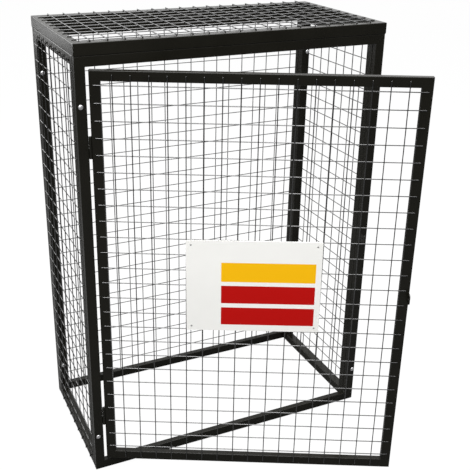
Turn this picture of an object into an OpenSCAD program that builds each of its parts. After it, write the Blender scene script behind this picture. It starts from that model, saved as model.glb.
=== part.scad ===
// Gas cylinder cage: two frames and two side panels of welded steel tube make the body,
// with a mesh lid on top and one mesh door on lift-off hinges that stands ajar.
// Every mesh lies on the outer face of its frame and is made of crossing wires.
// X runs along the front, Y goes into the cage, Z is up. The origin is on the floor,
// under the middle of the front bottom rail.

/* [Body] */
// Width of the body across its front
body_w = 1000; // [700:10:1400]
// Depth of the body from front face to back face
body_d = 500; // [400:10:800]
// Height of the body without the lid
body_h = 1370; // [900:10:1800]

/* [Tubes] */
// Width of the tube faces that show on the front frame, the back frame and the door
tube_face = 30; // [24:1:40]
// Thickness of the tubes of the front frame, the back frame and the door
tube_depth = 20; // [16:1:30]
// Side of the square tubes in the two side panels
side_tube = 30; // [24:1:40]
// Wall of every tube
tube_wall = 1.5; // [1:0.1:3]
// Corner radius on the outside of every tube
tube_round = 2.5; // [1:0.1:4]

/* [Lid] */
// Height of the lid's tubes
lid_h = 35; // [25:1:50]
// Width of the lid's tubes, seen from above
lid_face = 25; // [20:1:40]
// How far the lid stands out past the body on each side
lid_overhang = 1; // [0:0.5:8]

/* [Mesh] */
// Distance between neighbouring wires
pitch = 50; // [40:1:80]
// Thickness of a wire
wire_d = 3; // [2:0.5:5]
// How deep the outer wires sink into the inner ones at each weld
weld_sink = 0.3; // [0.2:0.05:0.6]
// How far the wire ends stay inside the edge of their panel
wire_inset = 11; // [8:1:14]
// Least distance from a panel's edge to the first wire that runs along it
edge_min = 45; // [42:1:48]
// How far the back mesh sits above the middle of its frame
back_lift = 5; // [0:1:8]
// How far the side meshes sit above the middle of their frames
side_lift = 12; // [0:1:12]
// How far the left side's mesh sits in front of the middle of its panel
left_shift = 16; // [0:1:16]
// How far the door mesh sits above the middle of the door
door_lift = 6; // [0:1:8]

/* [Door] */
// Angle at which the door stands open
door_angle = 26.5; // [0:0.5:110]
// Gap between the left upright and the closed door
hinge_gap = 6.5; // [6:0.5:9]
// Gap between the right upright and the closed door
lock_gap = 5.5; // [5:0.5:9]
// Gap above and below the door
door_gap_z = 8; // [5:0.5:12]

/* [Hinges] */
// Outer diameter of the hinge knuckles
knuckle_d = 8; // [7:0.5:8]
// How far the hinge axis lies in front of the front face
axis_out = 1.5; // [1.5:0.1:3]
// Diameter of the hinge pins
pin_d = 5; // [4:0.1:5.5]
// Length of the pin above its knuckle
pin_l = 30; // [15:1:35]
// Room between pin and bore, measured on the radius
pin_clear = 0.05; // [0.02:0.01:0.1]
// Length of the lower knuckle, which the frame carries
frame_knuckle_l = 25; // [15:1:40]
// Length of the upper knuckle, which the door carries
door_knuckle_l = 40; // [38:1:60]
// Running gap between the two knuckles
knuckle_gap = 0.3; // [0.2:0.05:0.5]
// Thickness of the hinge leaves
leaf_t = 1.5; // [1.5:0.1:2.5]
// How far a leaf reaches behind the hinge axis
leaf_w = 16; // [10:1:20]
// Height of the lower hinge's foot above the floor
lower_hinge_z = 175; // [80:5:400]
// Distance from the top of the body down to the upper hinge's foot
upper_hinge_drop = 289; // [180:1:500]

/* [Padlock lugs] */
// Height of the middle of the padlock lugs above the floor
lug_z = 672; // [500:1:800]
// Length of a lug along the upright
lug_l = 32; // [25:1:60]
// How far a lug stands out of the front
lug_out = 27; // [24:1:40]
// Thickness of a lug
lug_t = 3; // [2:0.5:6]
// Diameter of the hole for the padlock's shackle
lug_hole_d = 10; // [8:0.5:12]
// Distance from the outer edge of a lug to the middle of its hole
lug_hole_in = 12; // [9:0.5:15]
// Radius of a lug's outer corners
lug_round = 8; // [3:1:10]
// Distance from the free edge of the door to its lug
door_lug_edge = 2.5; // [2.5:0.5:6]
// Distance from the inner edge of the right upright to its lug
frame_lug_edge = 2.5; // [2.5:0.5:15]

/* [Sign plate] */
// Width of the sign plate
sign_w = 400; // [200:10:600]
// Height of the sign plate
sign_h = 300; // [150:10:450]
// Thickness of the sign plate
sign_t = 2; // [1:0.5:4]
// Corner radius of the sign plate
sign_round = 4; // [1:1:12]
// Height of the sign's middle above the floor
sign_z = 693; // [400:1:1000]
// How far the sign hangs out of level
sign_tilt = 0.5; // [0:0.1:2]

/* [Hidden] */
$fn = 32;

coat = [0.10, 0.10, 0.10];
wire_coat = [0.14, 0.14, 0.14];
white = [0.93, 0.93, 0.91];

// The body's faces
front_y = -tube_depth / 2;
back_y = front_y + body_d;
left_x = -body_w / 2;
right_x = body_w / 2;

// A side panel stands between the front frame and the back frame
side_w = body_d - 2 * tube_depth;

// The lid's outline
lid_w = body_w + 2 * lid_overhang;
lid_d = body_d + 2 * lid_overhang;

// The door fills the front frame's opening, less its gaps
door_w = body_w - 2 * tube_face - hinge_gap - lock_gap;
door_h = body_h - 2 * tube_face - 2 * door_gap_z;
door_x = left_x + tube_face + hinge_gap;
door_z = tube_face + door_gap_z;
axis_x = door_x - hinge_gap / 2;
axis_y = front_y - axis_out;

// The two layers of wire, as distances of their middles from the frame's outer face
inner_layer = wire_d / 2;
outer_layer = wire_d * 3 / 2 - weld_sink;
mesh_t = 2 * wire_d - weld_sink;

// Height of the upper hinge's foot
upper_hinge_z = body_h - upper_hinge_drop;

// A wire is six-sided, and this is its diameter across the corners
wire_across = wire_d / cos(30);

function wire_count(size) = floor((size - 2 * edge_min) / pitch) + 1;
function first_wire(size, shift) = (size - (wire_count(size) - 1) * pitch) / 2 + shift;
function wire_at(size, shift, i) = first_wire(size, shift) + i * pitch;
// A tall mesh is cut in two halfway between its two middle rows
function mesh_cut(size, shift) = wire_at(size, shift, floor(wire_count(size) / 2) - 0.5);

// Outline of a rectangle with round corners, from the origin to [w, h]
module round_rect(w, h, r) {
    translate([r, 0]) square([w - 2 * r, h]);
    translate([0, r]) square([w, h - 2 * r]);
    for (x = [r, w - r])
        for (y = [r, h - r])
            translate([x, y]) circle(r);
}

// One side of a mitred frame: a tube along X, its outer edge on z = 0, its outer face on y = 0
module member(length, face, depth) {
    intersection() {
        rotate([90, 0, 90])
            linear_extrude(length)
                difference() {
                    round_rect(depth, face, tube_round);
                    translate([tube_wall, tube_wall])
                        square([depth - 2 * tube_wall, face - 2 * tube_wall]);
                }
        translate([0, depth + 1, 0])
            rotate([90, 0, 0])
                linear_extrude(depth + 2)
                    polygon([[0, 0], [length, 0], [length - face, face], [face, face]]);
    }
}

// The four sides of a frame of outline [w, h]
module bottom_member(w, face, depth) {
    member(w, face, depth);
}
module top_member(w, h, face, depth) {
    translate([0, 0, h]) mirror([0, 0, 1]) member(w, face, depth);
}
module left_member(h, face, depth) {
    mirror([1, 0, -1]) member(h, face, depth);
}
module right_member(w, h, face, depth) {
    translate([w, 0, 0]) mirror([1, 0, 0]) left_member(h, face, depth);
}

// Crossing wires on the outer face of a panel of outline [w, h], between two heights
module mesh(w, h, shift, lift, low, high) {
    for (i = [0 : wire_count(h) - 1]) {
        z = wire_at(h, lift, i);
        if (z > low && z < high)
            translate([wire_inset, -inner_layer, z])
                rotate([0, 90, 0])
                    cylinder(h = w - 2 * wire_inset, d = wire_across, $fn = 6);
    }
    for (i = [0 : wire_count(w) - 1])
        translate([wire_at(w, shift, i), -outer_layer, low])
            cylinder(h = high - low, d = wire_across, $fn = 6);
}

// Places for the panels: each is drawn with its outer face on y = 0 and its lower left corner
// at the origin, and the frame behind it
module at_front() {
    translate([left_x, front_y, 0]) children();
}
module at_back() {
    translate([left_x, back_y, 0]) mirror([0, 1, 0]) children();
}
module at_left() {
    translate([left_x, front_y + tube_depth, 0]) mirror([1, -1, 0]) children();
}
module at_right() {
    mirror([1, 0, 0]) at_left() children();
}
module at_lid() {
    translate([left_x - lid_overhang, front_y - lid_overhang, body_h + lid_h])
        rotate([-90, 0, 0]) children();
}
// Turns what is drawn in the closed door's place to where the door stands ajar
module ajar() {
    translate([axis_x, axis_y, 0])
        rotate([0, 0, -door_angle])
            translate([-axis_x, -axis_y, 0])
                children();
}
module at_door() {
    ajar() translate([door_x, front_y, door_z]) children();
}

module front_left_upright() {
    color(coat) at_front() left_member(body_h, tube_face, tube_depth);
}
module front_right_upright() {
    color(coat) at_front() right_member(body_w, body_h, tube_face, tube_depth);
}
module front_top_rail() {
    color(coat) at_front() top_member(body_w, body_h, tube_face, tube_depth);
}
module front_bottom_rail() {
    color(coat) at_front() bottom_member(body_w, tube_face, tube_depth);
}

module back_left_upright() {
    color(coat) at_back() left_member(body_h, tube_face, tube_depth);
}
module back_right_upright() {
    color(coat) at_back() right_member(body_w, body_h, tube_face, tube_depth);
}
module back_top_rail() {
    color(coat) at_back() top_member(body_w, body_h, tube_face, tube_depth);
}
module back_bottom_rail() {
    color(coat) at_back() bottom_member(body_w, tube_face, tube_depth);
}

module side_front_upright() {
    left_member(body_h, side_tube, side_tube);
}
module side_rear_upright() {
    right_member(side_w, body_h, side_tube, side_tube);
}
module side_top_rail() {
    top_member(side_w, body_h, side_tube, side_tube);
}
module side_bottom_rail() {
    bottom_member(side_w, side_tube, side_tube);
}

module left_front_upright() {
    color(coat) at_left() side_front_upright();
}
module left_rear_upright() {
    color(coat) at_left() side_rear_upright();
}
module left_top_rail() {
    color(coat) at_left() side_top_rail();
}
module left_bottom_rail() {
    color(coat) at_left() side_bottom_rail();
}
module right_front_upright() {
    color(coat) at_right() side_front_upright();
}
module right_rear_upright() {
    color(coat) at_right() side_rear_upright();
}
module right_top_rail() {
    color(coat) at_right() side_top_rail();
}
module right_bottom_rail() {
    color(coat) at_right() side_bottom_rail();
}

module lid_front_rail() {
    color(coat) at_lid() bottom_member(lid_w, lid_face, lid_h);
}
module lid_back_rail() {
    color(coat) at_lid() top_member(lid_w, lid_d, lid_face, lid_h);
}
module lid_left_rail() {
    color(coat) at_lid() left_member(lid_d, lid_face, lid_h);
}
module lid_right_rail() {
    color(coat) at_lid() right_member(lid_w, lid_d, lid_face, lid_h);
}

module lid_mesh() {
    color(wire_coat) at_lid() mesh(lid_w, lid_d, 0, 0, wire_inset, lid_d - wire_inset);
}
module left_mesh() {
    color(wire_coat)
        at_left() mesh(side_w, body_h, -left_shift, side_lift, wire_inset, body_h - wire_inset);
}
module right_mesh() {
    color(wire_coat)
        at_right() mesh(side_w, body_h, 0, side_lift, wire_inset, body_h - wire_inset);
}
module back_mesh_upper() {
    color(wire_coat)
        at_back()
            mesh(body_w, body_h, 0, back_lift, mesh_cut(body_h, back_lift), body_h - wire_inset);
}
module back_mesh_lower() {
    color(wire_coat)
        at_back() mesh(body_w, body_h, 0, back_lift, wire_inset, mesh_cut(body_h, back_lift));
}

module door_hinge_stile() {
    color(coat) at_door() left_member(door_h, tube_face, tube_depth);
}
module door_lock_stile() {
    color(coat) at_door() right_member(door_w, door_h, tube_face, tube_depth);
}
module door_top_rail() {
    color(coat) at_door() top_member(door_w, door_h, tube_face, tube_depth);
}
module door_bottom_rail() {
    color(coat) at_door() bottom_member(door_w, tube_face, tube_depth);
}
module door_mesh_upper() {
    color(wire_coat)
        at_door()
            mesh(door_w, door_h, 0, door_lift, mesh_cut(door_h, door_lift), door_h - wire_inset);
}
module door_mesh_lower() {
    color(wire_coat)
        at_door() mesh(door_w, door_h, 0, door_lift, wire_inset, mesh_cut(door_h, door_lift));
}

// Lower half of a lift-off hinge, with its foot at z = 0: knuckle, pin and a leaf that lies
// on the inner face of the left upright
module hinge_pin_half() {
    cylinder(h = frame_knuckle_l, d = knuckle_d);
    cylinder(h = frame_knuckle_l + pin_l, d = pin_d);
    translate([-hinge_gap / 2, 0, 0]) cube([leaf_t, leaf_w, frame_knuckle_l]);
}
// Upper half: a knuckle bored from below, with a leaf on the edge of the closed door
module hinge_sleeve_half() {
    difference() {
        union() {
            cylinder(h = door_knuckle_l, d = knuckle_d);
            translate([hinge_gap / 2 - leaf_t, 0, 0]) cube([leaf_t, leaf_w, door_knuckle_l]);
        }
        translate([0, 0, -1])
            cylinder(h = pin_l + 2, r = pin_d / 2 + pin_clear);
    }
}
module at_hinge(foot_z) {
    translate([axis_x, axis_y, foot_z]) children();
}
module upper_hinge_pin() {
    color(coat) at_hinge(upper_hinge_z) hinge_pin_half();
}
module lower_hinge_pin() {
    color(coat) at_hinge(lower_hinge_z) hinge_pin_half();
}
module upper_hinge_sleeve() {
    color(coat)
        ajar() at_hinge(upper_hinge_z + frame_knuckle_l + knuckle_gap) hinge_sleeve_half();
}
module lower_hinge_sleeve() {
    color(coat)
        ajar() at_hinge(lower_hinge_z + frame_knuckle_l + knuckle_gap) hinge_sleeve_half();
}

// A plate that stands out of the front with its left face on x = 0, for a padlock's shackle
module lock_lug() {
    rotate([90, 0, -90])
        translate([0, 0, -lug_t])
            linear_extrude(lug_t)
                difference() {
                    union() {
                        square([lug_out - lug_round, lug_l]);
                        translate([0, lug_round]) square([lug_out, lug_l - 2 * lug_round]);
                        for (z = [lug_round, lug_l - lug_round])
                            translate([lug_out - lug_round, z]) circle(lug_round);
                    }
                    translate([lug_out - lug_hole_in, lug_l / 2]) circle(d = lug_hole_d);
                }
}
module frame_lock_lug() {
    color(coat)
        translate([right_x - tube_face + frame_lug_edge, front_y, lug_z - lug_l / 2])
            lock_lug();
}
module door_lock_lug() {
    color(coat)
        ajar()
            translate([door_x + door_w - door_lug_edge - lug_t, front_y, lug_z - lug_l / 2])
                lock_lug();
}

// The plate lies on the door's outer wires, over the middle of the door
module sign_plate() {
    color(white)
        ajar()
            translate([door_x + door_w / 2, front_y - mesh_t, sign_z])
                rotate([90, -sign_tilt, 0])
                    translate([-sign_w / 2, -sign_h / 2, 0])
                        linear_extrude(sign_t)
                            round_rect(sign_w, sign_h, sign_round);
}

front_left_upright();
front_right_upright();
front_top_rail();
front_bottom_rail();
back_left_upright();
back_right_upright();
back_top_rail();
back_bottom_rail();
left_front_upright();
left_rear_upright();
left_top_rail();
left_bottom_rail();
right_front_upright();
right_rear_upright();
right_top_rail();
right_bottom_rail();
lid_front_rail();
lid_back_rail();
lid_left_rail();
lid_right_rail();
lid_mesh();
left_mesh();
right_mesh();
back_mesh_upper();
back_mesh_lower();
upper_hinge_pin();
lower_hinge_pin();
frame_lock_lug();
door_hinge_stile();
door_lock_stile();
door_top_rail();
door_bottom_rail();
door_mesh_upper();
door_mesh_lower();
upper_hinge_sleeve();
lower_hinge_sleeve();
door_lock_lug();
sign_plate();
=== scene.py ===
# Looks of the gas cylinder cage: coated tubes, welded wire mesh, bolts, hinges and the sign plate.
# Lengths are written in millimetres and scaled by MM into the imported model's frame, in metres.
import math
import random
from collections import namedtuple

import bmesh
import bpy
from mathutils import Matrix, Vector


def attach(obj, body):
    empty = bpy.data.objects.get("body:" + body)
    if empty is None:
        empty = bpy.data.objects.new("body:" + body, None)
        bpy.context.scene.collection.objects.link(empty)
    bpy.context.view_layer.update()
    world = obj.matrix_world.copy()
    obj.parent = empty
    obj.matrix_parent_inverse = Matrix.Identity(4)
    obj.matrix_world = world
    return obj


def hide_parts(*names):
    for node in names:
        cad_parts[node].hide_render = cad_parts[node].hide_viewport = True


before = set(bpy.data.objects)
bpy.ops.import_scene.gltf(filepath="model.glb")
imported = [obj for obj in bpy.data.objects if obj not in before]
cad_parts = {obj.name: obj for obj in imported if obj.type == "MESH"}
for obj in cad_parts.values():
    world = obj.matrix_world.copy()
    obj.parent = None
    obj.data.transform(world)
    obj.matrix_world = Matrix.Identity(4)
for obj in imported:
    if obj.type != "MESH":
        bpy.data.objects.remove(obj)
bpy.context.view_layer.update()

MM = 0.001

# The door stands ajar at this angle, about this vertical axis
DOOR_ANGLE = math.radians(26.5)
AXIS_X, AXIS_Y = -466.75 * MM, -11.5 * MM
AJAR = (
    Matrix.Translation((AXIS_X, AXIS_Y, 0))
    @ Matrix.Rotation(-DOOR_ANGLE, 4, "Z")
    @ Matrix.Translation((-AXIS_X, -AXIS_Y, 0))
)

# Body, lid and door outlines, and the tubes' faces
BODY_W, BODY_D, BODY_H = 1000.0, 500.0, 1370.0
TUBE_FACE, TUBE_DEPTH, SIDE_TUBE = 30.0, 20.0, 30.0
LID_H, LID_FACE, LID_OVERHANG = 35.0, 25.0, 1.0
FRONT_Y = -TUBE_DEPTH / 2
BACK_Y = FRONT_Y + BODY_D
SIDE_W = BODY_D - 2 * TUBE_DEPTH
LID_W, LID_D = BODY_W + 2 * LID_OVERHANG, BODY_D + 2 * LID_OVERHANG
DOOR_W, DOOR_H = 928.0, 1294.0
DOOR_X, DOOR_Z = -463.5, 38.0

# The mesh: two layers of wires that sink a little into each other where they cross
PITCH, WIRE_D, WELD_SINK, WIRE_INSET, EDGE_MIN = 50.0, 3.0, 0.3, 11.0, 45.0
INNER_LAYER = WIRE_D / 2
OUTER_LAYER = WIRE_D * 1.5 - WELD_SINK
MESH_T = 2 * WIRE_D - WELD_SINK

# How far a mesh lies off the middle of its panel, across and up
LEFT_SHIFT, SIDE_LIFT, BACK_LIFT, DOOR_LIFT = -16.0, 12.0, 5.0, 6.0


def move(x, y, z):
    """A move by so many millimetres."""
    return Matrix.Translation(Vector((x, y, z)) * MM)


# A panel is drawn with x across, z up and its outer face towards -y, then put in its place:
# outline w by h, tubes with that face and depth, and the offsets of its mesh
Panel = namedtuple("Panel", "body place w h face depth shift lift")
SWAP_XY = Matrix(((0, 1, 0, 0), (1, 0, 0, 0), (0, 0, 1, 0), (0, 0, 0, 1)))
AT_FRONT = move(-BODY_W / 2, FRONT_Y, 0)
AT_BACK = move(-BODY_W / 2, BACK_Y, 0) @ Matrix.Scale(-1, 4, (0, 1, 0))
AT_LEFT = move(-BODY_W / 2, FRONT_Y + TUBE_DEPTH, 0) @ SWAP_XY
AT_RIGHT = Matrix.Scale(-1, 4, (1, 0, 0)) @ AT_LEFT
AT_LID = (
    move(-BODY_W / 2 - LID_OVERHANG, FRONT_Y - LID_OVERHANG, BODY_H + LID_H)
    @ Matrix.Rotation(math.radians(-90), 4, "X")
)
AT_DOOR = AJAR @ move(DOOR_X, FRONT_Y, DOOR_Z)

FRONT = Panel("cage", AT_FRONT, BODY_W, BODY_H, TUBE_FACE, TUBE_DEPTH, 0, 0)
BACK = Panel("cage", AT_BACK, BODY_W, BODY_H, TUBE_FACE, TUBE_DEPTH, 0, BACK_LIFT)
LEFT = Panel("cage", AT_LEFT, SIDE_W, BODY_H, SIDE_TUBE, SIDE_TUBE, LEFT_SHIFT, SIDE_LIFT)
RIGHT = Panel("cage", AT_RIGHT, SIDE_W, BODY_H, SIDE_TUBE, SIDE_TUBE, 0, SIDE_LIFT)
LID = Panel("cage", AT_LID, LID_W, LID_D, LID_FACE, LID_H, 0, 0)
DOOR = Panel("door", AT_DOOR, DOOR_W, DOOR_H, TUBE_FACE, TUBE_DEPTH, 0, DOOR_LIFT)


# Shader nodes

def new_material(name):
    mat = bpy.data.materials.new(name)
    mat.use_nodes = True
    nt = mat.node_tree
    return mat, nt, nt.nodes["Principled BSDF"]


def link(nt, a, b):
    nt.links.new(a, b)


def object_coords(nt):
    return nt.nodes.new("ShaderNodeTexCoord").outputs["Object"]


def noise(nt, coords, scale, detail=3.0, rough=0.5):
    n = nt.nodes.new("ShaderNodeTexNoise")
    n.inputs["Scale"].default_value = scale
    n.inputs["Detail"].default_value = detail
    n.inputs["Roughness"].default_value = rough
    link(nt, coords, n.inputs["Vector"])
    return n.outputs["Fac"]


def ramp(nt, fac, stops):
    """Colours at their places from 0 to 1, and blends of them between."""
    r = nt.nodes.new("ShaderNodeValToRGB")
    for element, (place, colour) in zip(r.color_ramp.elements, stops):
        element.position = place
        element.color = (*colour, 1.0)
    link(nt, fac, r.inputs["Fac"])
    return r.outputs["Color"]


def grey(value):
    return (value, value, value)


def spread(nt, fac, low, high, from_low=0.0, from_high=1.0):
    """Maps fac from one range to another."""
    m = nt.nodes.new("ShaderNodeMapRange")
    m.inputs["From Min"].default_value = from_low
    m.inputs["From Max"].default_value = from_high
    m.inputs["To Min"].default_value = low
    m.inputs["To Max"].default_value = high
    link(nt, fac, m.inputs["Value"])
    return m.outputs["Result"]


def bump(nt, bsdf, height, distance, strength, under=None):
    b = nt.nodes.new("ShaderNodeBump")
    b.inputs["Distance"].default_value = distance
    b.inputs["Strength"].default_value = strength
    link(nt, height, b.inputs["Height"])
    if under is not None:
        link(nt, under, b.inputs["Normal"])
    link(nt, b.outputs["Normal"], bsdf.inputs["Normal"])
    return b.outputs["Normal"]


def math_node(nt, op, a, b=None, clamp=False):
    """A math node on numbers or sockets."""
    n = nt.nodes.new("ShaderNodeMath")
    n.operation = op
    n.use_clamp = clamp
    for socket, value in zip(n.inputs, (a, b)):
        if value is None:
            continue
        if isinstance(value, (int, float)):
            socket.default_value = value
        else:
            link(nt, value, socket)
    return n.outputs[0]


# Coats

def coat_material(name, dark, light, rough_low, rough_high, gloss, ior=1.5):
    """Black powder coat: fine orange peel, slow changes of gloss, a little dust in the tone."""
    mat, nt, bsdf = new_material(name)
    co = object_coords(nt)
    tone = noise(nt, co, 7.0, detail=4.0, rough=0.6)
    link(nt, ramp(nt, tone, [(0.3, dark), (0.7, light)]), bsdf.inputs["Base Color"])
    cloud = noise(nt, co, 16.0)
    link(nt, spread(nt, cloud, rough_low, rough_high), bsdf.inputs["Roughness"])
    bsdf.inputs["Specular IOR Level"].default_value = gloss
    bsdf.inputs["IOR"].default_value = ior
    peel = noise(nt, co, 520.0, detail=2.0)
    soft = bump(nt, bsdf, peel, 0.0002, 0.10)
    swell = noise(nt, co, 42.0, detail=2.0, rough=0.4)
    bump(nt, bsdf, swell, 0.0006, 0.10, under=soft)
    return mat


# The tubes' black is slightly warm, and the wires shine more, as in the photograph
WARM_DARK, WARM_LIGHT = (0.0064, 0.0060, 0.0042), (0.0094, 0.0088, 0.0064)
TUBE_COAT = coat_material("coat_tube", WARM_DARK, WARM_LIGHT, 0.20, 0.30, gloss=0.20)
WIRE_COAT = coat_material(
    "coat_wire", grey(0.003), (0.005, 0.0048, 0.0046), 0.14, 0.22, gloss=1.0, ior=1.65
)
FITTING_COAT = coat_material("coat_fitting", WARM_DARK, WARM_LIGHT, 0.22, 0.32, gloss=0.30)


def zinc_material():
    """Bright zinc on the bolts, with the fine mottle of plating."""
    mat, nt, bsdf = new_material("zinc")
    co = object_coords(nt)
    tone = noise(nt, co, 260.0, rough=0.6)
    colour = ramp(nt, tone, [(0.3, (0.62, 0.62, 0.63)), (0.7, (0.80, 0.80, 0.81))])
    link(nt, colour, bsdf.inputs["Base Color"])
    bsdf.inputs["Metallic"].default_value = 1.0
    link(nt, spread(nt, noise(nt, co, 420.0), 0.34, 0.50), bsdf.inputs["Roughness"])
    bump(nt, bsdf, noise(nt, co, 900.0), 0.0001, 0.15)
    return mat


ZINC = zinc_material()


# Meshes and objects

def add_object(name, data):
    ob = bpy.data.objects.new(name, data)
    bpy.context.scene.collection.objects.link(ob)
    return ob


def to_metres(bm):
    bmesh.ops.scale(bm, vec=(MM, MM, MM), verts=bm.verts)


def mesh_from(name, bm):
    bm.normal_update()
    me = bpy.data.meshes.new(name)
    bm.to_mesh(me)
    bm.free()
    return me


def finish_mesh(name, bm, material, body, smooth=True, matrix=None):
    """Turns bm into a piece that rides on body."""
    if matrix is not None:
        bm.transform(matrix)
        if matrix.determinant() < 0:
            bmesh.ops.reverse_faces(bm, faces=bm.faces)
    me = mesh_from(name, bm)
    for p in me.polygons:
        p.use_smooth = smooth
    me.materials.append(material)
    ob = add_object(name, me)
    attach(ob, body)
    return ob


def loft(bm, rings):
    """Closes rings of as many vertices each into a solid with flat ends."""
    n = len(rings[0])
    for a, b in zip(rings, rings[1:]):
        for k in range(n):
            bm.faces.new((a[k], a[(k + 1) % n], b[(k + 1) % n], b[k]))
    bm.faces.new(list(reversed(rings[0])))
    bm.faces.new(rings[-1])


def lathe(bm, profile, place, sides):
    """Turns (radius, height) pairs about the z axis of place."""
    rings = []
    for r, z in profile:
        if r == 0:
            rings.append([bm.verts.new(place @ Vector((0, 0, z)))])
        else:
            turns = [2 * math.pi * k / sides for k in range(sides)]
            rings.append([
                bm.verts.new(place @ Vector((r * math.cos(a), r * math.sin(a), z))) for a in turns
            ])
    for a, b in zip(rings, rings[1:]):
        for k in range(sides):
            j = (k + 1) % sides
            quad = [a[k % len(a)], a[j % len(a)], b[j % len(b)], b[k % len(b)]]
            face = []
            for v in quad:
                if v not in face:
                    face.append(v)
            bm.faces.new(face)
    if len(rings[0]) > 1:
        bm.faces.new(list(reversed(rings[0])))


def blob(bm, centre, size_ranges, rng):
    """A small weld nugget: a squashed ball of random size, with an uneven skin."""
    sx, sy, sz = [rng.uniform(low, high) for low, high in size_ranges]
    ball = bmesh.ops.create_icosphere(bm, subdivisions=2, radius=1.0)
    for v in ball["verts"]:
        k = 1.0 + rng.uniform(-0.07, 0.07)
        v.co = Vector((v.co.x * sx * k, v.co.y * sy * k, v.co.z * sz * k)) + centre


# Welded meshes: inner wires across, outer wires up, a nugget at each crossing

WIRE_SIDES = 10
# A wire's rounded end, in shares of its radius: how far in, and how wide. The third ring keeps
# the shading of the rounding off the rest of the wire.
WIRE_END = ((0.0, 0.55), (0.5, 1.0), (1.2, 1.0))
# How far a whole wire lies off its place, and the share of that by which it wavers
SWAY, WAVER = 0.22, 0.6
NUGGET = ((1.9, 2.3), (1.25, 1.5), (1.9, 2.3))


def wire(bm, points):
    """A closed round wire through points, its ends slightly rounded as if cropped and coated."""
    radius = WIRE_D / 2
    direction = (points[-1] - points[0]).normalized()
    side = direction.orthogonal().normalized()
    other = direction.cross(side)
    stations = [(points[0], along, share) for along, share in WIRE_END]
    stations += [(p, 0.0, 1.0) for p in points[1:-1]]
    stations += [(points[-1], -along, share) for along, share in reversed(WIRE_END)]
    rings = []
    for centre, along, share in stations:
        c = centre + direction * along * radius
        rings.append([
            bm.verts.new(
                c
                + side * math.cos(2 * math.pi * k / WIRE_SIDES) * radius * share
                + other * math.sin(2 * math.pi * k / WIRE_SIDES) * radius * share
            )
            for k in range(WIRE_SIDES)
        ])
    loft(bm, rings)


def wire_places(size, shift):
    """Where the wires lie along a side of that size, at the pitch and off the middle by shift."""
    count = int((size - 2 * EDGE_MIN) // PITCH) + 1
    first = (size - (count - 1) * PITCH) / 2 + shift
    return [first + i * PITCH for i in range(count)]


def make_mesh(name, nodes, panel, seed):
    """The welded mesh of a panel, in place of those CAD nodes."""
    rng = random.Random(seed)
    bm = bmesh.new()
    xs, zs = wire_places(panel.w, panel.shift), wire_places(panel.h, panel.lift)
    nudge_z = {z: rng.uniform(-SWAY, SWAY) for z in zs}
    nudge_x = {x: rng.uniform(-SWAY, SWAY) for x in xs}
    for z in zs:
        level = z + nudge_z[z]
        points = [Vector((WIRE_INSET, -INNER_LAYER, level))]
        for x in xs:
            waver = rng.uniform(-SWAY, SWAY) * WAVER
            points.append(Vector((x, -INNER_LAYER, level + waver)))
        points.append(Vector((panel.w - WIRE_INSET, -INNER_LAYER, level)))
        wire(bm, points)
    for x in xs:
        across = x + nudge_x[x]
        points = [Vector((across, -OUTER_LAYER, WIRE_INSET))]
        for z in zs:
            waver = rng.uniform(-SWAY, SWAY) * WAVER
            points.append(Vector((across + waver, -OUTER_LAYER, z)))
        points.append(Vector((across, -OUTER_LAYER, panel.h - WIRE_INSET)))
        wire(bm, points)
    middle = (INNER_LAYER + OUTER_LAYER) / 2
    for x in xs:
        for z in zs:
            blob(bm, Vector((x + nudge_x[x], -middle, z + nudge_z[z])), NUGGET, rng)
    to_metres(bm)
    ob = finish_mesh(name, bm, WIRE_COAT, panel.body, matrix=panel.place)
    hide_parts(*nodes)


make_mesh("lid_wires", ["lid_mesh"], LID, 11)
make_mesh("left_wires", ["left_mesh"], LEFT, 12)
make_mesh("right_wires", ["right_mesh"], RIGHT, 13)
make_mesh("back_wires", ["back_mesh_upper", "back_mesh_lower"], BACK, 14)
make_mesh("door_wires", ["door_mesh_upper", "door_mesh_lower"], DOOR, 15)


# Tack welds, where both ends of each wire are held to the tubes

# Random sizes of a tack, how far it stands in front of the tube, where it lies across the tube,
# as a share of the tube's face, and by how much that place varies
INNER_TACK, INNER_TACK_OUT, INNER_TACK_AT = ((2.6, 3.4), (0.6, 0.9), (2.4, 2.9)), 0.5, 0.55
OUTER_TACK, OUTER_TACK_OUT, OUTER_TACK_AT = ((2.2, 2.7), (1.8, 2.1), (2.4, 3.0)), 0.6, 0.6
TACK_SLIP = 1.0


def make_tack_welds(name, panel, seed):
    rng = random.Random(seed)
    bm = bmesh.new()
    for z in wire_places(panel.h, panel.lift):
        for x in (panel.face * INNER_TACK_AT, panel.w - panel.face * INNER_TACK_AT):
            c = Vector((x + rng.uniform(-TACK_SLIP, TACK_SLIP), -INNER_TACK_OUT, z))
            blob(bm, c, INNER_TACK, rng)
    for x in wire_places(panel.w, panel.shift):
        for z in (panel.face * OUTER_TACK_AT, panel.h - panel.face * OUTER_TACK_AT):
            c = Vector((x, -OUTER_TACK_OUT, z + rng.uniform(-TACK_SLIP, TACK_SLIP)))
            blob(bm, c, OUTER_TACK, rng)
    to_metres(bm)
    finish_mesh(name, bm, TUBE_COAT, panel.body, matrix=panel.place)


make_tack_welds("lid_tacks", LID, 21)
make_tack_welds("left_tacks", LEFT, 22)
make_tack_welds("right_tacks", RIGHT, 23)
make_tack_welds("back_tacks", BACK, 24)
make_tack_welds("door_tacks", DOOR, 25)


# Fillet welds in the inner corners of every tube frame, and the seams along its mitres, which
# are ground nearly flush

BEAD_SIDES = 6
FILLET_R, FILLET_END, FILLET_OUT = 2.2, 2.0, 0.2
SEAM_R, SEAM_HIGH, SEAM_STEPS = 1.1, 0.12, 14
# How far a seam ends short of the frame's outer and inner corner
SEAM_OUTER_END, SEAM_INNER_END = 3, 1.5


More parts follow.
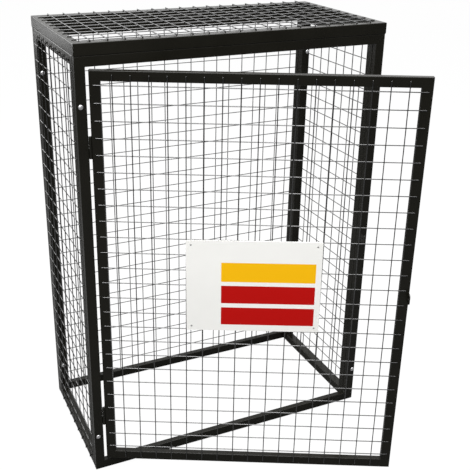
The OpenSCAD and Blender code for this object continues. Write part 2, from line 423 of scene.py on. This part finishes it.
def bead(bm, a, b, radius, out, rng, steps=9):
    """A rippled weld bead from a to b that bulges towards out."""
    along = (b - a).normalized()
    side = along.cross(out).normalized()
    rows = []
    for i in range(steps + 1):
        ripple = 1.0 + 0.12 * math.sin(i * 2.4) + rng.uniform(-0.05, 0.05)
        end = 0.5 if i in (0, steps) else 1.0
        c = a.lerp(b, i / steps)
        rows.append([
            bm.verts.new(
                c
                + side * math.cos(math.pi * k / BEAD_SIDES) * radius * ripple * end
                + out * math.sin(math.pi * k / BEAD_SIDES) * radius * 0.55 * ripple * end
            )
            for k in range(BEAD_SIDES + 1)
        ])
    for p, q in zip(rows, rows[1:]):
        for k in range(BEAD_SIDES):
            bm.faces.new((p[k], p[k + 1], q[k + 1], q[k]))
        bm.faces.new((p[BEAD_SIDES], p[0], q[0], q[BEAD_SIDES]))
    bm.faces.new(rows[0])
    bm.faces.new(list(reversed(rows[-1])))


def make_corner_welds(name, panel, seed):
    rng = random.Random(seed)
    bm = bmesh.new()
    face, depth = panel.face, panel.depth
    back = Vector((0, depth, 0))
    for cx, sx in ((face, 1), (panel.w - face, -1)):
        for cz, sz in ((face, 1), (panel.h - face, -1)):
            out = Vector((sx, 0, sz)).normalized()
            start = Vector((cx, FILLET_END, cz)) + out * FILLET_OUT
            finish = start + Vector((0, depth - 2 * FILLET_END, 0))
            bead(bm, start, finish, FILLET_R, out, rng)
            reach = face - SEAM_OUTER_END
            outer = Vector((cx - sx * reach, 0, cz - sz * reach))
            inner = Vector((cx - sx * SEAM_INNER_END, 0, cz - sz * SEAM_INNER_END))
            high = Vector((0, SEAM_HIGH, 0))
            bead(bm, outer, inner, SEAM_R, -high, rng, SEAM_STEPS)
            bead(bm, outer + back, inner + back, SEAM_R, high, rng, SEAM_STEPS)
    to_metres(bm)
    bmesh.ops.recalc_face_normals(bm, faces=bm.faces)
    finish_mesh(name, bm, TUBE_COAT, panel.body, matrix=panel.place)


make_corner_welds("front_frame_welds", FRONT, 31)
make_corner_welds("back_frame_welds", BACK, 32)
make_corner_welds("left_panel_welds", LEFT, 33)
make_corner_welds("right_panel_welds", RIGHT, 34)
make_corner_welds("lid_welds", LID, 35)
make_corner_welds("door_welds", DOOR, 36)


# Assembly bolts: zinc dome heads on the front uprights and, inside the cage, on the rear uprights
# of the side panels

BOLT_ROWS = (130.0, 1231.0)
BOLT_OUT, BOLT_MIDDLE = 489.0, 1.5
# Each bolt is turned this much further than the one before, in radians
BOLT_TURN = 0.7
# (radius, height) of the dome head
DOME = [(7.4, -0.3), (7.5, 0.5), (7.2, 1.3), (6.2, 2.3), (4.6, 3.1), (2.4, 3.6), (0.0, 3.75)]
NUT_ACROSS, NUT_HIGH, NUT_CHAMFER = 13.0, 5.5, 0.6
THREAD_R, THREAD_ROOT, THREAD_PITCH, THREAD_TURNS, STUB_HIGH = 4.0, 3.6, 0.9, 4, 4.2


def hex_nut(bm, place):
    """A chamfered hexagon nut with a stub of thread."""
    corner = NUT_ACROSS / 2 / math.cos(math.pi / 6)
    profile = (
        (corner * 0.93, 0.0), (corner, NUT_CHAMFER),
        (corner, NUT_HIGH - NUT_CHAMFER), (corner * 0.92, NUT_HIGH),
    )
    turns = [math.pi * k / 3 for k in range(6)]
    loft(bm, [
        [bm.verts.new(place @ Vector((r * math.cos(a), r * math.sin(a), z))) for a in turns]
        for r, z in profile
    ])
    stub = [(THREAD_R, NUT_HIGH - 0.2)]
    for i in range(THREAD_TURNS):
        root = NUT_HIGH + 0.3 + i * THREAD_PITCH
        stub += [(THREAD_ROOT, root), (THREAD_R, root + THREAD_PITCH / 2)]
    stub += [(3.4, NUT_HIGH + STUB_HIGH), (0.0, NUT_HIGH + STUB_HIGH)]
    lathe(bm, stub, place, sides=20)


def facing(x, y, z, normal):
    """A frame at that point whose z axis is the normal."""
    quat = Vector((0, 0, 1)).rotation_difference(Vector(normal))
    return Matrix.Translation((x, y, z)) @ quat.to_matrix().to_4x4()


def make_bolts():
    heads, nuts = bmesh.new(), bmesh.new()
    turn = 0.0
    inside_front = FRONT_Y + TUBE_DEPTH + SIDE_TUBE
    inside_back = BACK_Y - TUBE_DEPTH - SIDE_TUBE
    for sx in (-1, 1):
        for z in BOLT_ROWS:
            turn += BOLT_TURN
            spin = Matrix.Rotation(turn, 4, "Z")
            x = BOLT_MIDDLE + sx * BOLT_OUT
            # A front bolt goes back through the front tube and the side panel's front upright
            lathe(heads, DOME, facing(x, FRONT_Y, z, (0, -1, 0)) @ spin, sides=28)
            hex_nut(nuts, facing(x, inside_front, z, (0, 1, 0)) @ spin)
            # Of a rear bolt only the head shows
            lathe(heads, DOME, facing(x, inside_back, z, (0, -1, 0)) @ spin, sides=28)
    for bm in (heads, nuts):
        to_metres(bm)
        bmesh.ops.recalc_face_normals(bm, faces=bm.faces)
    finish_mesh("bolt_heads", heads, ZINC, "cage")
    finish_mesh("bolt_nuts", nuts, ZINC, "cage", smooth=False)


make_bolts()


# The sign plate: a thin white board with plain colour bands on its front, and its fixings

SIGN_W, SIGN_H, SIGN_T, SIGN_ROUND = 400.0, 300.0, 2.0, 4.0
SIGN_Z, SIGN_TILT = 693.0, math.radians(0.5)
AT_SIGN = (
    AJAR
    @ move(DOOR_X + DOOR_W / 2, FRONT_Y - MESH_T, SIGN_Z)
    @ Matrix.Rotation(-SIGN_TILT, 4, "Y")
    @ Matrix.Rotation(math.radians(90), 4, "X")
)
YELLOW = (0.90, 0.48, 0.004)
RED = (0.46, 0.004, 0.003)
WHITE = (0.885, 0.88, 0.85)
# Each band from the plate's middle: left, right, bottom, top, colour
BANDS = (
    (-96.0, 183.0, 16.0, 79.0, YELLOW),
    (-96.0, 183.0, -56.0, 3.0, RED),
    (-96.0, 183.0, -129.0, -70.0, RED),
)
BAND_ROUND, BAND_BLUR = 2.0, 0.35
# The board's edge: how far in and how high each ring of its outline lies
BOARD_EDGE = (
    (0.25, 0.0), (0.0, 0.25), (0.0, SIGN_T - 0.35), (0.12, SIGN_T - 0.1), (0.4, SIGN_T)
)
ARC_STEPS = 6
# The fixings' (radius, height) profile, and how far they lie in from the board's edges
FIXING = [(2.9, -0.1), (2.9, 0.35), (2.5, 0.8), (1.5, 1.15), (0.0, 1.25)]
FIXING_IN = 15


def box_mask(nt, x, y, left, right, bottom, top):
    """1 inside a rectangle with slightly round corners, 0 outside, from its signed distance."""
    r = BAND_ROUND * MM

    def past(value, low, high):
        """How far value lies past the inner rectangle, or 0."""
        off = math_node(nt, "ABSOLUTE", math_node(nt, "SUBTRACT", value, (low + high) / 2 * MM))
        over = math_node(nt, "SUBTRACT", off, (high - low) / 2 * MM - r)
        return math_node(nt, "MAXIMUM", over, 0.0)

    dx, dy = past(x, left, right), past(y, bottom, top)
    squares = math_node(
        nt, "ADD", math_node(nt, "MULTIPLY", dx, dx), math_node(nt, "MULTIPLY", dy, dy)
    )
    inside = math_node(nt, "SUBTRACT", r, math_node(nt, "SQRT", squares))
    step = math_node(nt, "DIVIDE", inside, BAND_BLUR * MM)
    return math_node(nt, "ADD", step, 0.5, clamp=True)


def sign_material(name, bands):
    """White board, with the bands laid over it."""
    mat, nt, bsdf = new_material(name)
    co = object_coords(nt)
    xyz = nt.nodes.new("ShaderNodeSeparateXYZ")
    link(nt, co, xyz.inputs[0])
    x, y = xyz.outputs["X"], xyz.outputs["Y"]
    pale = tuple(c * 0.975 for c in WHITE)
    colour = ramp(nt, noise(nt, co, 9.0), [(0.35, pale), (0.65, WHITE)])
    for left, right, bottom, top, ink in bands:
        mix = nt.nodes.new("ShaderNodeMix")
        mix.data_type = "RGBA"
        link(nt, box_mask(nt, x, y, left, right, bottom, top), mix.inputs["Factor"])
        link(nt, colour, mix.inputs["A"])
        mix.inputs["B"].default_value = (*ink, 1.0)
        colour = mix.outputs["Result"]
    link(nt, colour, bsdf.inputs["Base Color"])
    link(nt, spread(nt, noise(nt, co, 30.0), 0.34, 0.44), bsdf.inputs["Roughness"])
    bsdf.inputs["Specular IOR Level"].default_value = 0.12
    bump(nt, bsdf, noise(nt, co, 24.0, detail=2.0), 0.0004, 0.12)
    return mat


def fixing_material():
    """Dull grey metal of the sign's fixings."""
    mat, nt, bsdf = new_material("fixing")
    co = object_coords(nt)
    colour = ramp(nt, noise(nt, co, 300.0), [(0.3, grey(0.34)), (0.7, grey(0.46))])
    link(nt, colour, bsdf.inputs["Base Color"])
    bsdf.inputs["Metallic"].default_value = 0.8
    link(nt, spread(nt, noise(nt, co, 500.0), 0.35, 0.5), bsdf.inputs["Roughness"])
    return mat


def board_ring(bm, inset, z):
    """The board's outline with its round corners, drawn in by inset, at that height."""
    ring = []
    for sx, sy, start in ((1, 1, 0), (-1, 1, 90), (-1, -1, 180), (1, -1, 270)):
        for k in range(ARC_STEPS + 1):
            a = math.radians(start + 90 * k / ARC_STEPS)
            ring.append(bm.verts.new((
                sx * (SIGN_W / 2 - SIGN_ROUND) + (SIGN_ROUND - inset) * math.cos(a),
                sy * (SIGN_H / 2 - SIGN_ROUND) + (SIGN_ROUND - inset) * math.sin(a),
                z,
            )))
    return ring


def make_sign():
    bm = bmesh.new()
    loft(bm, [board_ring(bm, inset, z) for inset, z in BOARD_EDGE])
    to_metres(bm)
    me = mesh_from("sign_board", bm)
    me.materials.append(sign_material("sign_print", BANDS))
    me.materials.append(sign_material("sign_plain", ()))
    for p in me.polygons:
        p.material_index = 0 if p.normal.z > 0.5 else 1
    board = add_object("sign_board", me)
    board.matrix_world = AT_SIGN
    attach(board, "door")
    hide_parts("sign_plate")

    fixings = bmesh.new()
    x, y = SIGN_W / 2 - FIXING_IN, SIGN_H / 2 - FIXING_IN
    for sx in (-1, 1):
        for sy in (-1, 1):
            lathe(fixings, FIXING, Matrix.Translation((sx * x, sy * y, SIGN_T)), sides=20)
    to_metres(fixings)
    bmesh.ops.recalc_face_normals(fixings, faces=fixings.faces)
    finish_mesh("sign_fixings", fixings, fixing_material(), "door", matrix=AT_SIGN)


make_sign()


# Materials of the CAD nodes

FITTINGS = (
    "upper_hinge_pin", "lower_hinge_pin", "upper_hinge_sleeve", "lower_hinge_sleeve",
    "frame_lock_lug", "door_lock_lug",
)
for node_name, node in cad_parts.items():
    coat = FITTING_COAT if node_name in FITTINGS else TUBE_COAT
    if not node.data.materials:
        node.data.materials.append(coat)
    for material_slot in node.material_slots:
        material_slot.material = coat


# Floor and backdrop: white to the camera, with the soft shadow, and dimmer to light and
# reflections

# Half the floor's width, in metres
FLOOR_HALF = 30.0
# Grey of the floor to light and reflections, what the camera sees on top of that, and the share
# of plain white in what it sees
FLOOR_GREY, FLOOR_CAMERA_MORE, FLOOR_WHITE = 0.15, 0.75, 0.95


def make_floor():
    me = bpy.data.meshes.new("floor")
    corners = ((-1, -1), (1, -1), (1, 1), (-1, 1))
    me.from_pydata([(sx * FLOOR_HALF, sy * FLOOR_HALF, 0) for sx, sy in corners], [], [range(4)])
    ob = add_object("floor", me)
    mat = bpy.data.materials.new("floor_white")
    mat.use_nodes = True
    nt = mat.node_tree
    nt.nodes.clear()
    out = nt.nodes.new("ShaderNodeOutputMaterial")
    diffuse = nt.nodes.new("ShaderNodeBsdfDiffuse")
    glow = nt.nodes.new("ShaderNodeEmission")
    glow.inputs["Color"].default_value = (1, 1, 1, 1)
    glow.inputs["Strength"].default_value = 1.0
    camera_ray = nt.nodes.new("ShaderNodeLightPath").outputs["Is Camera Ray"]
    more = math_node(nt, "MULTIPLY", camera_ray, FLOOR_CAMERA_MORE)
    link(nt, math_node(nt, "ADD", more, FLOOR_GREY), diffuse.inputs["Color"])
    mix = nt.nodes.new("ShaderNodeMixShader")
    link(nt, math_node(nt, "MULTIPLY", camera_ray, FLOOR_WHITE), mix.inputs["Fac"])
    link(nt, diffuse.outputs[0], mix.inputs[1])
    link(nt, glow.outputs[0], mix.inputs[2])
    link(nt, mix.outputs[0], out.inputs["Surface"])
    me.materials.append(mat)


make_floor()

# The room is brightest at the back and overhead. Its brightness follows Y + ROOM_UP * Z of the
# direction, from ROOM_DIM at the first of these values to 1 at the second
ROOM_UP, ROOM_DIM = 0.9, 0.22
ROOM_RANGE = (-0.6, 0.5)


def make_world():
    world = bpy.data.worlds.new("studio")
    bpy.context.scene.world = world
    world.use_nodes = True
    nt = world.node_tree
    nt.nodes.clear()
    out = nt.nodes.new("ShaderNodeOutputWorld")
    xyz = nt.nodes.new("ShaderNodeSeparateXYZ")
    link(nt, nt.nodes.new("ShaderNodeTexCoord").outputs["Generated"], xyz.inputs[0])
    up = math_node(nt, "MULTIPLY", xyz.outputs["Z"], ROOM_UP)
    lean = math_node(nt, "ADD", xyz.outputs["Y"], up)
    back = spread(nt, lean, 0.0, 1.0, *ROOM_RANGE)
    lit = nt.nodes.new("ShaderNodeBackground")
    link(nt, ramp(nt, back, [(0.0, grey(ROOM_DIM)), (1.0, grey(1.0))]), lit.inputs["Color"])
    lit.inputs["Strength"].default_value = 1.0
    white = nt.nodes.new("ShaderNodeBackground")
    white.inputs["Color"].default_value = (1, 1, 1, 1)
    mix = nt.nodes.new("ShaderNodeMixShader")
    path = nt.nodes.new("ShaderNodeLightPath")
    link(nt, path.outputs["Is Camera Ray"], mix.inputs["Fac"])
    link(nt, lit.outputs[0], mix.inputs[1])
    link(nt, white.outputs[0], mix.inputs[2])
    link(nt, mix.outputs[0], out.inputs["Surface"])


make_world()


def area_light(name, at, aim, width, height, power):
    """A soft box at one point, in metres, that faces another and that the camera doesn't see."""
    data = bpy.data.lights.new(name, "AREA")
    data.shape = "RECTANGLE"
    data.size, data.size_y = width, height
    data.energy = power
    ob = add_object(name, data)
    ob.location = at
    ob.rotation_euler = (Vector(aim) - Vector(at)).to_track_quat("-Z", "Y").to_euler()
    ob.visible_camera = False


area_light("back_left_soft", (-2.1, 2.3, 1.60), (-0.5, 0.1, 1.35), 2.2, 1.5, 36)
area_light("top_soft", (0.4, 0.3, 3.6), (0.2, 0.2, 0.0), 3.0, 3.2, 160)
area_light("front_soft", (-1.7, -2.5, 3.7), (0.0, 0.2, 0.75), 2.2, 2.2, 144)


# Camera, fitted to the photograph: place in metres, angles in degrees

CAMERA_AT = (-1.033801, -2.084742, 1.807712)
CAMERA_TURN, CAMERA_DOWN, CAMERA_ROLL = -24.990, 22.534, 0.877
CAMERA_LENS, CAMERA_SENSOR = 61.036, 36.0
CAMERA_SHIFT = (0.033682, -0.050961)


def make_camera():
    data = bpy.data.cameras.new("camera")
    data.lens, data.sensor_width = CAMERA_LENS, CAMERA_SENSOR
    data.shift_x, data.shift_y = CAMERA_SHIFT
    data.clip_start, data.clip_end = 0.05, 100.0
    ob = add_object("camera", data)
    turn = (
        Matrix.Rotation(math.radians(CAMERA_TURN), 4, "Z")
        @ Matrix.Rotation(math.pi / 2 - math.radians(CAMERA_DOWN), 4, "X")
        @ Matrix.Rotation(math.radians(CAMERA_ROLL), 4, "Z")
    )
    ob.matrix_world = Matrix.Translation(CAMERA_AT) @ turn
    bpy.context.scene.camera = ob


make_camera()

bpy.context.scene.view_settings.view_transform = "Standard"
